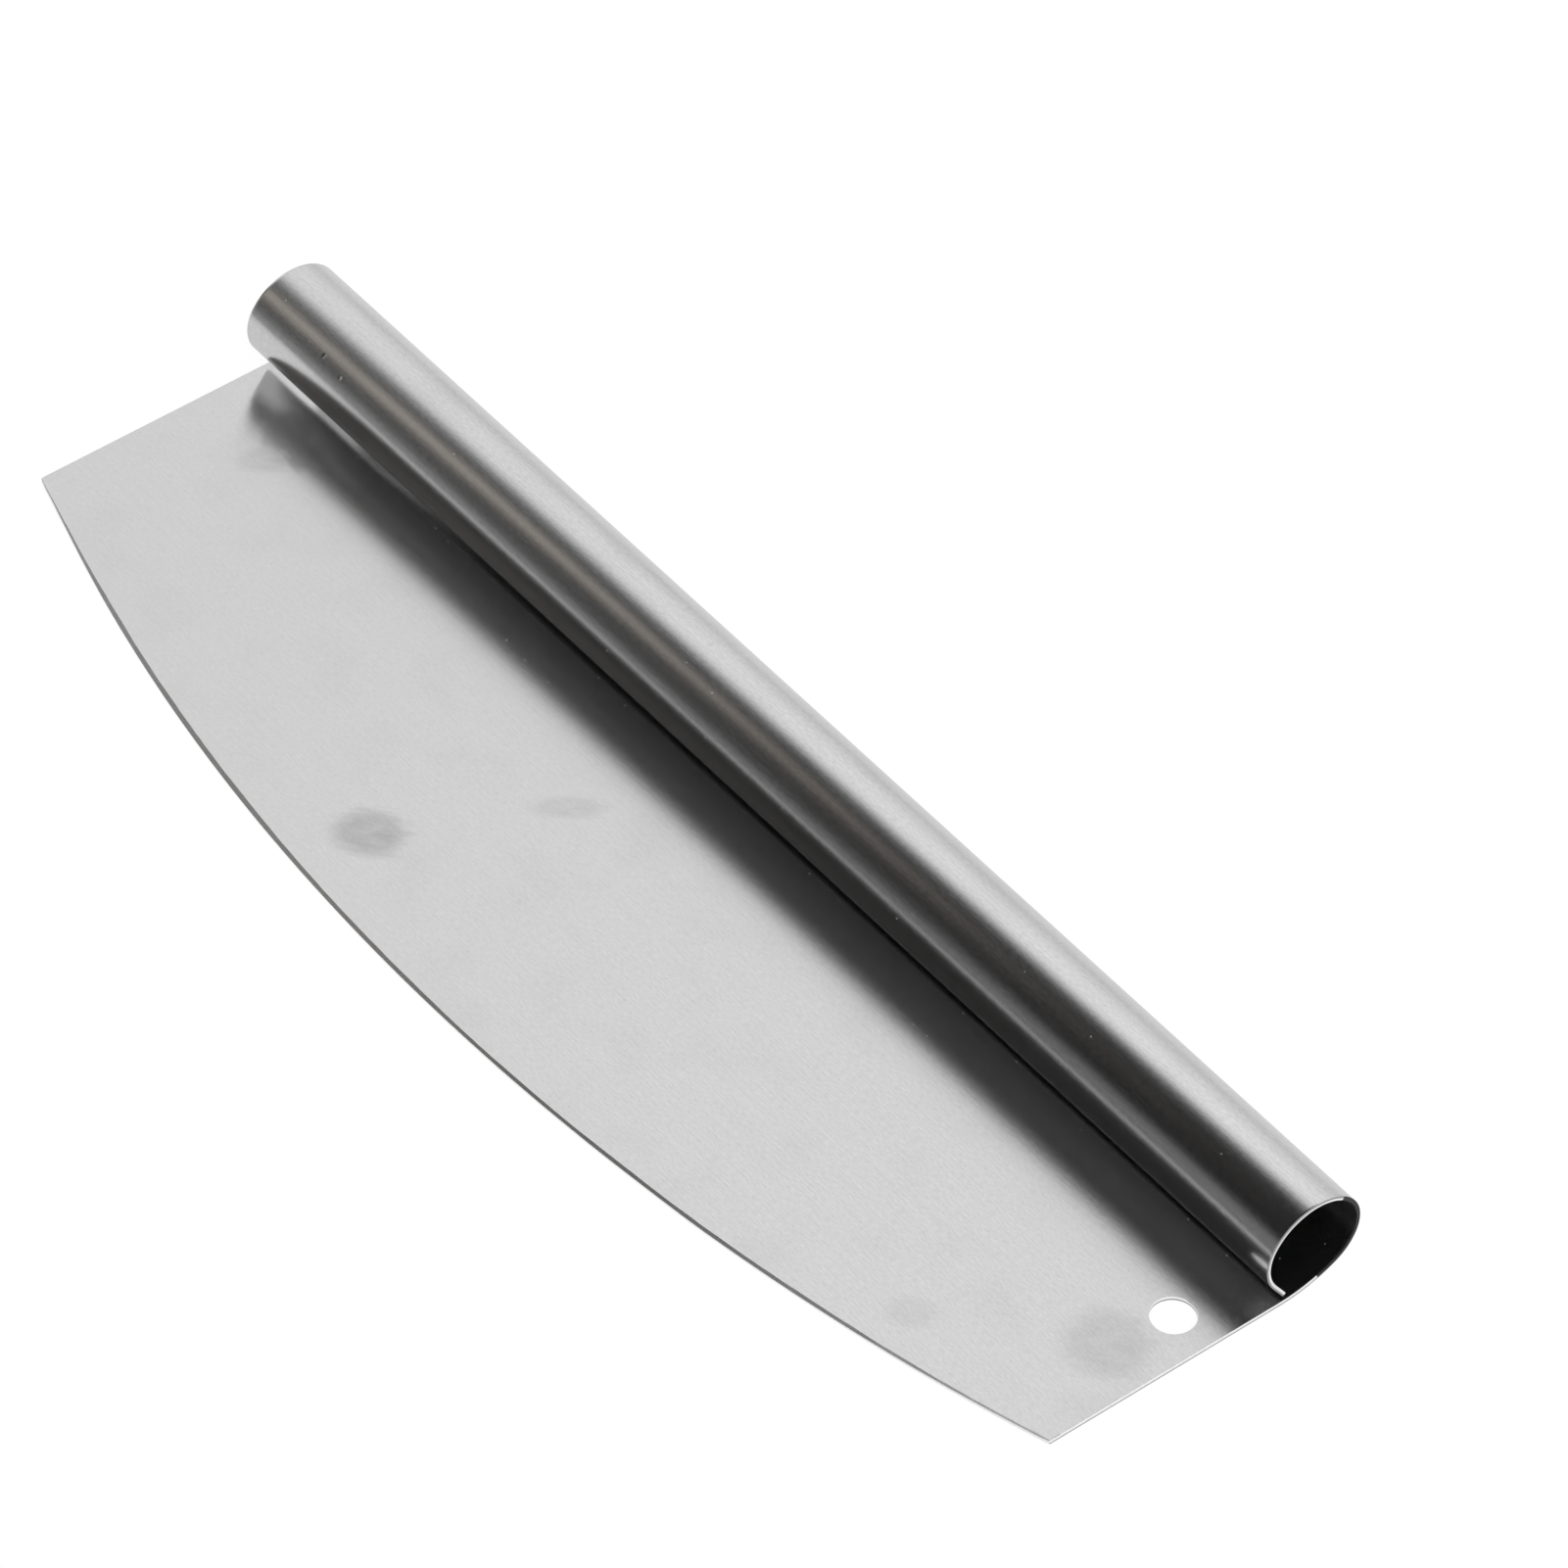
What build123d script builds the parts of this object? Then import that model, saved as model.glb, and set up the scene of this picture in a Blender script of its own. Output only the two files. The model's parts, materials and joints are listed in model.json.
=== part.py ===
from build123d import *
import os
from math import cos, radians, sin

# Rocking pizza knife, made from a single sheet of stainless steel. The front of the sheet is the
# blade, with a bowed cutting edge that rocks over the pizza. The back of the sheet curls up, over and
# down again into an open roll, which both hands grip. Nothing is welded, riveted or fitted to it.
#
# The knife lies on its back face, as on a table. +X runs along the grip to the hanging hole, +Y runs
# from the cutting edge to the grip, and +Z is up. The origin is under the middle of the knife's box.

# The sheet, cut square at both ends
sheet_thickness = 1.0
blade_length = 350.0
blade_flat = 60.9  # from the corners of the cutting edge to the line where the sheet starts to curl
corner_radius = 0.5

# The cutting edge, ground from both faces to a narrow land
edge_bow = 27.4  # how far the middle of the edge stands out past its corners
bevel_width = 0.7
bevel_depth = 0.4

# The rolled grip, whose curl follows the outside face through four stretches. Each turn is in degrees.
# The sheet leaves the flat in a slack bend, and its free edge stays straight, as sheet does in rollers.
entry_radius = 31.6
entry_turn = 27.9
back_radius = 11.1
back_turn = 87.6
crown_radius = 12.7
crown_turn = 122.6
front_turn = 69.3
tail_length = 4.9
seam_gap = 2.0  # between the blade's front face and the free edge above it

# The hanging hole, placed from the end of the sheet and from the line where the sheet starts to curl
hole_radius = 5.0
hole_from_end = 10.6
hole_from_curl = 19.4

# How far a cutting tool runs past what it cuts
overrun = 5.0

# Direction of the outside face, in radians, where each stretch of the curl ends
entry_end = radians(entry_turn)
back_end = entry_end + radians(back_turn)
crown_end = back_end + radians(crown_turn)
front_end = crown_end + radians(front_turn)

# The front stretch gets the radius that brings the free edge down to its gap over the blade
crown_end_height = (
    entry_radius * (1 - cos(entry_end))
    + back_radius * (cos(entry_end) - cos(back_end))
    + crown_radius * (cos(back_end) - cos(crown_end))
)
front_drop = crown_end_height + tail_length * sin(front_end) - sheet_thickness - seam_gap
front_radius = front_drop / (cos(front_end) - cos(crown_end))

# Front to back, the knife runs from the middle of its edge to the back of the roll
curl_to_back = entry_radius * sin(entry_end) + back_radius * (1 - sin(entry_end))
knife_depth = edge_bow + blade_flat + curl_to_back
knife_height = crown_end_height + crown_radius * (1 + cos(crown_end))
edge_tip_y = -knife_depth / 2
edge_corner_y = edge_tip_y + edge_bow
curl_y = edge_corner_y + blade_flat
half_length = blade_length / 2

# The cutting edge is one arc through its two corners and its middle
edge_radius = (half_length**2 + edge_bow**2) / (2 * edge_bow)
edge_axis = Axis((0, edge_tip_y + edge_radius, 0), (0, 0, 1))
bevel_slope = bevel_depth / bevel_width


with BuildPart() as rolled_blade:
    # Section across the knife: the flat blade and the curl, one sheet thick all the way
    with BuildSketch(Plane.YZ) as section:
        with BuildLine():
            flat = Line((edge_tip_y - overrun, 0), (curl_y, 0))
            entry = JernArc(flat @ 1, flat % 1, entry_radius, entry_turn)
            back = JernArc(entry @ 1, entry % 1, back_radius, back_turn)
            crown = JernArc(back @ 1, back % 1, crown_radius, crown_turn)
            front = JernArc(crown @ 1, crown % 1, front_radius, front_turn)
            PolarLine(front @ 1, tail_length, direction=front % 1)
            offset(amount=sheet_thickness, side=Side.LEFT)
        make_face()
    extrude(amount=half_length + overrun, both=True)

    # Plan of the sheet: two square ends and the bowed edge between its eased corners
    with BuildSketch(Plane.XY) as plan:
        with BuildLine():
            bow = ThreePointArc((-half_length, edge_corner_y), (0, edge_tip_y), (half_length, edge_corner_y))
            Polyline(
                bow @ 1,
                (half_length, knife_depth / 2 + overrun),
                (-half_length, knife_depth / 2 + overrun),
                bow @ 0,
            )
        make_face()
        fillet(plan.vertices().group_by(Axis.Y)[0], corner_radius)
    extrude(amount=knife_height + overrun, both=True, mode=Mode.INTERSECT)

    # Ground edge: each bevel follows the bow round, as the sheet swings past the grinding wheel
    with BuildSketch(Plane.YZ) as bevels:
        for face_z, outward in ((sheet_thickness, 1), (0, -1)):
            with BuildLine():
                Polyline(
                    (edge_tip_y - overrun, face_z - outward * (bevel_depth + overrun * bevel_slope)),
                    (edge_tip_y + bevel_width + overrun, face_z + outward * overrun * bevel_slope),
                    (edge_tip_y - overrun, face_z + outward * overrun * bevel_slope),
                    close=True,
                )
            make_face()
    revolve(axis=edge_axis, mode=Mode.SUBTRACT)

    # Hanging hole, punched through the blade near one end
    with Locations((half_length - hole_from_end, curl_y - hole_from_curl, sheet_thickness)):
        Hole(hole_radius)

rolled_blade.part.label = "rolled_blade"
os.makedirs("parts", exist_ok=True)
export_step(rolled_blade.part, "parts/rolled_blade.step")
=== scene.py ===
import json
from math import atan2, ceil, cos, degrees, pi, radians, sin, sqrt, tau

import bpy
import numpy as np
from bpy.props import FloatProperty, FloatVectorProperty, IntProperty, PointerProperty
from bpy.types import Operator, Panel, PropertyGroup
from mathutils import Matrix, Vector


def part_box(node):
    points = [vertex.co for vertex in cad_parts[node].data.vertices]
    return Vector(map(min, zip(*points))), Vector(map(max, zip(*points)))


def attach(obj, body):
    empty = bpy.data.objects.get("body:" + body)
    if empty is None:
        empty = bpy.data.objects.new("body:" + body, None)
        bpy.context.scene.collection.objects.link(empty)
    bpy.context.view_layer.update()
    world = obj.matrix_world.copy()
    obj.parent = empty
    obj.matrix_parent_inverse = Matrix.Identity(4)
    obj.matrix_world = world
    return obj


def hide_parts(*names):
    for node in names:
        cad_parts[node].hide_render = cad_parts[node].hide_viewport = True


bl_info = {
    "name": "Rocking Pizza Knife",
    "version": (1, 0, 0),
    "blender": (4, 5, 0),
    "location": "3D View > Sidebar > Pizza Knife",
    "description": "Rolls a rocking pizza knife from one brushed sheet, and lights it on a pale table",
    "category": "Object",
}

# Everything is in metres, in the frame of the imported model: the knife lies on its back face, +X runs
# along the grip to the hanging hole, +Y from the cutting edge to the grip, and +Z is up.
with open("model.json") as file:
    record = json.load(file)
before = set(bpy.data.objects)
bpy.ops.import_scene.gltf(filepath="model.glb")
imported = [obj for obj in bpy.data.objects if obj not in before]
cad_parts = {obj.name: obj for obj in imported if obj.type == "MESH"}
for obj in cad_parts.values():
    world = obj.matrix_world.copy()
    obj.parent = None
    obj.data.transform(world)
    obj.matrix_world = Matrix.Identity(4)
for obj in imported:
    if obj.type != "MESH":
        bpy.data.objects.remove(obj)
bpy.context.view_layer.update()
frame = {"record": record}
cad_low, cad_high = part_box("rolled_blade")
hanging_hole = next(mount for mount in frame["record"]["mounts"] if mount["name"] == "hanging_hole")

MM = 0.001


def linear(code):
    """An sRGB hex colour as the linear RGBA that shaders take."""
    parts = [int(code[i : i + 2], 16) / 255 for i in (1, 3, 5)]
    return tuple(c / 12.92 if c <= 0.04045 else ((c + 0.055) / 1.055) ** 2.4 for c in parts) + (1.0,)


def length_property(name, description, default):
    """A length in metres, shown in the user's units."""
    return FloatProperty(
        name=name,
        description=description,
        default=default,
        min=0.0,
        precision=5,
        unit="LENGTH",
        subtype="DISTANCE",
    )


def angle_property(name, description, turn):
    """An angle given in degrees, kept in radians and shown in degrees."""
    return FloatProperty(
        name=name, description=description, default=radians(turn), unit="ROTATION", subtype="ANGLE"
    )


def share_property(name, description, default):
    """A share between none and all."""
    return FloatProperty(
        name=name, description=description, default=default, min=0.0, max=1.0, subtype="FACTOR"
    )


def colour_property(name, description, code):
    """A colour of a finish, given by its sRGB hex value."""
    return FloatVectorProperty(
        name=name,
        description=description,
        default=linear(code),
        size=4,
        min=0.0,
        max=1.0,
        subtype="COLOR",
    )


class SheetSizes(PropertyGroup):
    """The sheet of steel, and how its back is rolled into the grip."""

    thickness: length_property(
        "Thickness", "Thickness of the sheet", hanging_hole["dims"]["length_mm"] * MM
    )
    length: length_property("Length", "Length of the sheet along the grip", cad_high.x - cad_low.x)
    flat: length_property(
        "Flat", "From the corners of the cutting edge to the start of the curl", 60.9 * MM
    )
    corner: length_property("Corner", "Radius of the eased corners", 0.5 * MM)
    entry_radius: length_property(
        "Entry radius", "Radius of the slack bend where the sheet leaves the flat", 31.6 * MM
    )
    entry_turn: angle_property("Entry turn", "How far the slack bend turns", 27.9)
    back_radius: length_property("Back radius", "Radius of the curl at the back of the grip", 11.1 * MM)
    back_turn: angle_property("Back turn", "How far the back of the grip turns", 87.6)
    crown_radius: length_property("Crown radius", "Radius of the curl over the top of the grip", 12.7 * MM)
    crown_turn: angle_property("Crown turn", "How far the top of the grip turns", 122.6)
    front_turn: angle_property("Front turn", "How far the front of the grip turns", 69.3)
    tail: length_property("Tail", "Straight stretch at the free edge of the sheet", 4.9 * MM)
    seam_gap: length_property("Seam gap", "Gap between the blade and the free edge above it", 2.0 * MM)
    droop: length_property(
        "Droop", "How much nearer the blade the free edge comes at the hole's end", 0.75 * MM
    )
    rounding: length_property("Rounding", "How far shearing rounds the borders of the sheet", 0.11 * MM)
    hole_radius: length_property(
        "Hole radius", "Radius of the hanging hole", hanging_hole["dims"]["r_mm"] * MM
    )


class EdgeSizes(PropertyGroup):
    """The cutting edge, ground from both faces to a narrow land."""

    bow: length_property("Bow", "How far the middle of the edge stands out past its corners", 27.4 * MM)
    bevel_width: length_property("Bevel width", "Width of each ground bevel", 0.72 * MM)
    bevel_depth: length_property("Bevel depth", "How deep each bevel is ground", 0.41 * MM)
    lean: length_property("Lean", "How far the bow leans towards the plain end", 0.5 * MM)
    fullness: length_property(
        "Fullness", "How far the shoulders of the bow stand out past an arc", 1.1 * MM
    )
    set_back: length_property(
        "Set back", "How far grinding has taken the edge back from the bow", 0.45 * MM
    )
    raggedness: share_property("Raggedness", "How unevenly the bevel is ground", 0.05)


class SteelFinish(PropertyGroup):
    """The finishes of the sheet."""

    brushed: colour_property("Brushed", "Colour of the brushed faces", "#cfcfcf")
    handled: colour_property("Handled", "Colour where fingers have dulled the brushed faces", "#b4b4b4")
    sheared: colour_property(
        "Sheared", "Colour of the sheared borders, where the shear burnished them", "#fdfdfd"
    )
    # The broken colour is darker partly because broken steel is duller, and partly as painted shade for
    # the contact shadow along the bottom of the borders.
    broken: colour_property(
        "Broken", "Colour of the sheared borders, where the steel broke away", "#a4a4a4"
    )
    # Painted shade: this near-black colour on one stretch of the roll's open end stands in for the shade
    # and dark reflection there.
    stained: colour_property("Stained", "Colour of the stained stretch of the roll's open end", "#3a3a3a")
    ground: colour_property("Ground", "Colour of the ground bevels", "#dadada")
    roughness: share_property("Roughness", "Roughness of the brushed faces", 0.19)
    stretch: share_property("Stretch", "How much the grain spreads reflections across it", 0.8)
    grain: length_property("Grain", "Spacing of the brushed grain", 0.45 * MM)
    streak: length_property("Streak", "Length of the grain's short streaks", 1.5 * MM)


class StudioSettings(PropertyGroup):
    """The table, the light and the camera."""

    table: colour_property("Table", "Colour of the table", "#f2f2f2")
    table_size: length_property("Table size", "Length of the table top", 6.0)
    table_front: length_property(
        "Table front", "From the knife's middle to the front end of the table", 112 * MM
    )
    azimuth: angle_property(
        "Azimuth", "Where the camera stands, turned from the front towards the hole", 50.06
    )
    elevation: angle_property("Elevation", "How high the camera stands", 45.655)
    roll: angle_property("Roll", "How far the camera is turned about its own axis", 2.056)
    distance: length_property("Distance", "From the camera to the point it looks at", 2001.527 * MM)
    target: FloatVectorProperty(
        name="Target",
        description="Point that the camera looks at",
        default=(-2.58 * MM, 45.848 * MM, 0.0),
        precision=5,
        unit="LENGTH",
        subtype="TRANSLATION",
    )
    view_pixels: FloatProperty(
        name="Focal length in pixels",
        description="Focal length, in pixels of the picture",
        default=9514.592,
        min=1.0,
        subtype="PIXEL",
    )
    picture_pixels: IntProperty(
        name="Picture width",
        description="Width of the picture",
        default=1601,
        min=1,
        subtype="PIXEL",
    )


class KnifeSettings(PropertyGroup):
    """Everything a user would change."""

    sheet: PointerProperty(type=SheetSizes, name="Sheet", description="Sizes of the sheet and its curl")
    edge: PointerProperty(type=EdgeSizes, name="Edge", description="Sizes of the cutting edge")
    finish: PointerProperty(type=SteelFinish, name="Finish", description="Finishes of the steel")
    studio: PointerProperty(type=StudioSettings, name="Studio", description="Table, light and camera")


# The curl, followed along the outside face of the sheet

FREE_FRONT = 15.0 * MM  # length of the sheet at its free edge that droops towards the hole's end


def curl_stretches(sheet):
    """Radius and turn of each stretch of the curl. The front one brings the free edge down to its gap."""
    headings = np.cumsum([0.0, sheet.entry_turn, sheet.back_turn, sheet.crown_turn, sheet.front_turn])
    falls = -np.diff(np.cos(headings))
    climb = sheet.entry_radius * falls[0] + sheet.back_radius * falls[1] + sheet.crown_radius * falls[2]
    drop = climb + sheet.tail * sin(headings[4]) - sheet.thickness - sheet.seam_gap
    radii = (sheet.entry_radius, sheet.back_radius, sheet.crown_radius, -drop / falls[3])
    turns = (sheet.entry_turn, sheet.back_turn, sheet.crown_turn, sheet.front_turn)
    return list(zip(radii, turns))


def developed_length(sheet):
    """Length of the outside face from the start of the curl to the free edge."""
    return sum(radius * turn for radius, turn in curl_stretches(sheet)) + sheet.tail


def rolled(sheet, curl_line, across, along, height):
    """Where points of the flat sheet end up. across is their place along the grip, along is measured
    over the outside face from the curl line towards the free edge, and height is through the sheet from
    that face."""
    y = curl_line + np.minimum(along, 0.0)
    z = np.zeros_like(along)
    heading = np.zeros_like(along)
    start, turned, corner = 0.0, 0.0, np.array([curl_line, 0.0])
    for radius, turn in curl_stretches(sheet):
        centre = corner + radius * np.array([-sin(turned), cos(turned)])
        angle = turned + np.clip(along - start, 0.0, radius * turn) / radius
        reached = along > start
        y = np.where(reached, centre[0] + radius * np.sin(angle), y)
        z = np.where(reached, centre[1] - radius * np.cos(angle), z)
        heading = np.where(reached, angle, heading)
        start += radius * turn
        turned += turn
        corner = centre + radius * np.array([sin(turned), -cos(turned)])
    past = np.maximum(along - start, 0.0)
    y = y + past * np.cos(heading) - height * np.sin(heading)
    z = z + past * np.sin(heading) + height * np.cos(heading)
    front_share = np.clip(1 - (developed_length(sheet) - along) / FREE_FRONT, 0.0, 1.0)
    towards_hole = across / sheet.length + 0.5
    droop_share = towards_hole**2 * (3 - 2 * towards_hole)
    return np.stack([across, y, z - sheet.droop * droop_share * front_share**2], -1)


# The flat sheet, before it is rolled: a grid of points over each face, and rings round its border

# Spacings of the grid
HOLE_WINDOW = 9.0 * MM  # from the middle of the hole to the sides of the square of sheet that holds it
HOLE_CELLS = 16  # along each side of that square
COLUMN_SPACING = 2.0 * MM
CORNER_STEPS = 4  # along each eased corner, and columns squeezed in next to each end
END_COLUMNS = np.array([1.5, 1.0, 0.6]) * MM  # from each end to those columns, but for the last one
END_MARGIN = 2.6 * MM  # from each end to the even columns
FRONT_MARGIN = 3.0 * MM  # from the corners of the cutting edge to the first straight row
FREE_MARGIN = 1.2 * MM  # from the last straight row to the free edge
FLAT_ROW_SPACING = 2.0 * MM
BACK_ROW_SPACING = 1.6 * MM  # between the hole and the curl
CURL_ROW_SPACING = 0.75 * MM
FRONT_STEPS = 12  # rows between the cutting edge and the first straight row
TAIL_STEPS = 3  # rows between the last straight row and the free edge

# Rings of the border, from one face of the sheet to the other
FACE_STEPS = 3  # over the rounding or the bevel next to each face
BORDER_RINGS = 2 * (FACE_STEPS + 1) + 1
BROKEN_FROM = 0.42  # height of the ring under which the steel broke, as a share of the thickness

# How the cutting edge is ground, at places along the grip in millimetres
SET_BACK_AT = (-173, -168, -158, 68, 87, 119, 136, 150)
SET_BACK_SHARE = (0.00, 0.55, 1.00, 0.95, 0.45, 0.35, 0.10, 0.00)
BEVEL_AT = (-175, -161, -153, -136, -119, -68, -51, 0, 17, 34, 68, 119, 136, 160, 175)
BEVEL_SHARE = (0.10, 0.45, 0.72, 1.10, 1.22, 1.28, 1.15, 1.05, 0.92, 0.90, 0.97, 0.92, 0.78, 0.60, 0.50)
BEVEL_RANGE = (0.05, 1.38)  # smallest and largest share, so that the two bevels never meet
STEEPER_AT = (-85, -51, 0)
STEEPER_BY = (1.12, 1.05, 1.00)  # steepness of the bevels, as a multiple
RAGGED_AT = (120, 160)
RAGGED_BY = (1.0, 2.0)  # unevenness of the bevels, as a multiple
UNDER_BEVEL = 0.55  # size of the bevel on the underside, as a share of the upper one
TOP_SEED, UNDER_SEED = 11, 23
COARSE_WAVE, FINE_WAVE = 11.0, 2.4  # lengths of the bevel's unevenness, in millimetres
FINE_SHARE = 1.2  # depth of the fine unevenness, as a share of the coarse

# Painted shade: the stretch of the open end's border that is coloured near black
PAINTED_SHADE_STRETCH = (10.0 * MM, 38.0 * MM)  # of the border at the hole's end, from the curl line
MIRROR = np.array([-1.0, 1.0])  # turns a corner at the hole's end into one at the plain end


def bow_radius(sheet, edge):
    """Radius of the arc through the two corners and the middle of the cutting edge."""
    return ((sheet.length / 2) ** 2 + edge.bow**2) / (2 * edge.bow)


def cutting_edge(sheet, edge, curl_line, across):
    """Place of the cutting edge along the flat sheet, and its outward direction."""
    radius = bow_radius(sheet, edge)
    share = across / (sheet.length / 2)
    eased = 1 - share**2
    drift = edge.lean * share * eased - edge.fullness * eased * share**2
    ground_away = edge.set_back * np.interp(across / MM, SET_BACK_AT, SET_BACK_SHARE)
    place = cad_low.y + radius - np.sqrt(radius**2 - across**2) + drift + ground_away
    place = np.maximum(place, cad_low.y) - curl_line
    slope = np.gradient(place, across)
    normal = np.stack([slope, -np.ones_like(slope)], -1)
    return place, normal / np.linalg.norm(normal, axis=1)[:, None]


def spread(low, high, spacing):
    """Even steps from low to high, none of them longer than spacing."""
    return np.linspace(low, high, max(1, ceil((high - low) / spacing)) + 1)


def uneven(seed, places, wave):
    """A smooth random height between -1 and 1 at each place, changing over one wave length."""
    draw = np.random.default_rng(seed)
    ticks = draw.uniform(-1, 1, int(np.ptp(places) / wave) + 4)
    at = (places - places.min()) / wave + 1
    whole = at.astype(int)
    part = at - whole
    part = part * part * (3 - 2 * part)
    return ticks[whole] * (1 - part) + ticks[whole + 1] * part


def sheared_profile(sheet):
    """How far the border stands back at each ring, and its height: rounded, burnished, then broken."""
    turns = np.linspace(0, pi / 2, FACE_STEPS + 1)
    back = sheet.rounding * (1 - np.sin(turns))
    lift = sheet.rounding * (1 - np.cos(turns))
    upper = np.stack([back, sheet.thickness - lift], -1)
    broken = np.array([[0.0, BROKEN_FROM * sheet.thickness]])
    lower = np.stack([back, lift], -1)
    return np.concatenate([upper, broken, lower[::-1]])


def ground_profile(sheet, edge, top, bottom, steepness):
    """The same for the cutting edge: a bevel, the land and the other bevel. top and bottom are the
    shares of the full bevel that are ground."""
    steps = np.linspace(1, 0, FACE_STEPS + 1)
    depth = edge.bevel_depth * steepness
    upper = np.stack([edge.bevel_width * top * steps, sheet.thickness - depth * top * (1 - steps)], -1)
    lower = np.stack([edge.bevel_width * bottom * steps, depth * bottom * (1 - steps)], -1)
    land = np.array([[0.0, (sheet.thickness - depth * top + depth * bottom) / 2]])
    return np.concatenate([upper, land, lower[::-1]])


class FlatSheet:
    """Points of the flat sheet as rows and columns, with the border as one closed loop of columns."""

    def __init__(self, sheet, edge):
        self.sheet, self.edge = sheet, edge
        half = sheet.length / 2
        self.curl_line = cad_low.y + edge.bow + sheet.flat
        self.end = developed_length(sheet)
        self.hole_at = np.array([hanging_hole["pos_m"][0], hanging_hole["pos_m"][1] - self.curl_line])

        # Columns of the plain part, closer together towards both ends and over the hole
        ends = half - np.append(END_COLUMNS, sheet.rounding)
        window_low, window_high = self.hole_at[0] - HOLE_WINDOW, self.hole_at[0] + HOLE_WINDOW
        inner = np.concatenate([
            spread(-half + END_MARGIN, window_low, COLUMN_SPACING),
            np.linspace(window_low, window_high, HOLE_CELLS + 1)[1:],
        ])
        self.columns = np.concatenate([-ends[::-1], inner, ends])
        self.inner = slice(CORNER_STEPS, CORNER_STEPS + len(inner))
        self.window_column = len(self.columns) - CORNER_STEPS - 1 - HOLE_CELLS

        # Rows of the plain part: the flat in front of the hole, the hole, and the curl
        hole_low, hole_high = self.hole_at[1] - HOLE_WINDOW, self.hole_at[1] + HOLE_WINDOW
        before = spread(FRONT_MARGIN - sheet.flat, hole_low, FLAT_ROW_SPACING)
        over = np.linspace(hole_low, hole_high, HOLE_CELLS + 1)
        behind = spread(hole_high, 0.0, BACK_ROW_SPACING)
        curl = spread(0.0, self.end - FREE_MARGIN, CURL_ROW_SPACING)
        self.rows = np.concatenate([before, over[1:], behind[1:], curl[1:]])
        self.window_row = FRONT_STEPS + len(before) - 1

        self.set_front()
        self.set_tail()

    def corner(self, centre, turns):
        """A rounded corner as places and outward directions."""
        normal = np.stack([np.cos(turns), np.sin(turns)], -1)
        return centre + self.sheet.corner * normal, normal

    def set_front(self):
        """The cutting edge with its two corners, left to right."""
        sheet, edge = self.sheet, self.edge
        half, corner = sheet.length / 2, sheet.corner
        radius = bow_radius(sheet, edge)
        axis = cad_low.y + radius - self.curl_line
        centre = np.array([half - corner, axis - sqrt((radius - corner) ** 2 - (half - corner) ** 2)])
        meets = atan2(centre[1] - axis, centre[0])
        turns = np.linspace(meets, 0.0, CORNER_STEPS + 1)[1:]
        right, right_normal = self.corner(centre, turns)
        across = self.columns[self.inner]
        place, normal = cutting_edge(sheet, edge, self.curl_line, across)
        self.front = np.concatenate([(right * MIRROR)[::-1], np.stack([across, place], -1), right])
        self.front_normal = np.concatenate([(right_normal * MIRROR)[::-1], normal, right_normal])

    def set_tail(self):
        """The free edge with its two corners, left to right."""
        half, corner = self.sheet.length / 2, self.sheet.corner
        centre = np.array([half - corner, self.end - corner])
        turns = np.linspace(pi / 2, 0.0, CORNER_STEPS + 1)[1:]
        right, right_normal = self.corner(centre, turns)
        across = self.columns[self.inner]
        straight = np.stack([across, np.full_like(across, self.end)], -1)
        onward = np.tile([0.0, 1.0], (len(across), 1))
        self.tail = np.concatenate([(right * MIRROR)[::-1], straight, right])
        self.tail_normal = np.concatenate([(right_normal * MIRROR)[::-1], onward, right_normal])

    def ground_shares(self, seed):
        """Share of the full bevel that is ground at each column: it fades out at the plain end of the
        blade and narrows towards the hole, and it is never quite even."""
        across = self.front[:, 0] / MM
        share = np.interp(across, BEVEL_AT, BEVEL_SHARE)
        coarse, fine = uneven(seed, across, COARSE_WAVE), uneven(seed + 1, across, FINE_WAVE)
        rough = self.edge.raggedness * np.interp(across, RAGGED_AT, RAGGED_BY)
        return np.clip(share * (1 + rough * (coarse + FINE_SHARE * fine)), *BEVEL_RANGE)

    def border_profiles(self):
        """Profile of the border at each column of the front, and the one that it has elsewhere."""
        sheet, edge = self.sheet, self.edge
        sheared = sheared_profile(sheet)
        top, bottom = self.ground_shares(TOP_SEED), UNDER_BEVEL * self.ground_shares(UNDER_SEED)
        steepness = np.interp(self.front[:, 0] / MM, STEEPER_AT, STEEPER_BY)
        front = np.stack([ground_profile(sheet, edge, *shares) for shares in zip(top, bottom, steepness)])
        count = len(front)
        step = np.minimum(np.arange(count), count - 1 - np.arange(count))
        share = np.clip(step / CORNER_STEPS, 0, 1)[:, None, None]
        return front * share + sheared * (1 - share), sheared

    def face(self, front_back, end_back):
        """Grid of one face: rows by columns of (across, along). front_back is how far the cutting
        edge's border reaches back over this face, and end_back the same for the sheared borders."""
        first = self.front - self.front_normal * front_back[:, None]
        last = self.tail - self.tail_normal * end_back
        columns = self.columns
        start = np.stack([columns, np.full_like(columns, self.rows[0])], -1)
        stop = np.stack([columns, np.full_like(columns, self.rows[-1])], -1)
        front = [first + (start - first) * k / FRONT_STEPS for k in range(FRONT_STEPS)]
        plain = [np.stack([columns, np.full_like(columns, row)], -1) for row in self.rows]
        tail = [stop + (last - stop) * k / TAIL_STEPS for k in range(1, TAIL_STEPS + 1)]
        return np.array(front + plain + tail)


# Building the knife's mesh

# Material slots, and the slots of the bands between the border's rings. The last slot holds painted shade,
# and the broken one's darker colour is partly painted shade.
FACE, GROUND, SHEARED, BROKEN_AND_SHADED, PAINTED_SHADE = range(5)
SHEARED_BANDS = np.repeat([SHEARED, BROKEN_AND_SHADED], FACE_STEPS + 1)[:, None]
GROUND_BANDS = np.repeat([GROUND, SHEARED, GROUND], [FACE_STEPS, 2, FACE_STEPS])[:, None]
CRISP_RINGS = (0, FACE_STEPS, FACE_STEPS + 2, BORDER_RINGS - 1)
CORNER_BANDS = 2  # columns next to each end of the cutting edge that keep the sheared finish

HOLE_RINGS = (0.28, 0.54, 0.78)  # share of the way from the square of sheet round the hole to its rim


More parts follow.
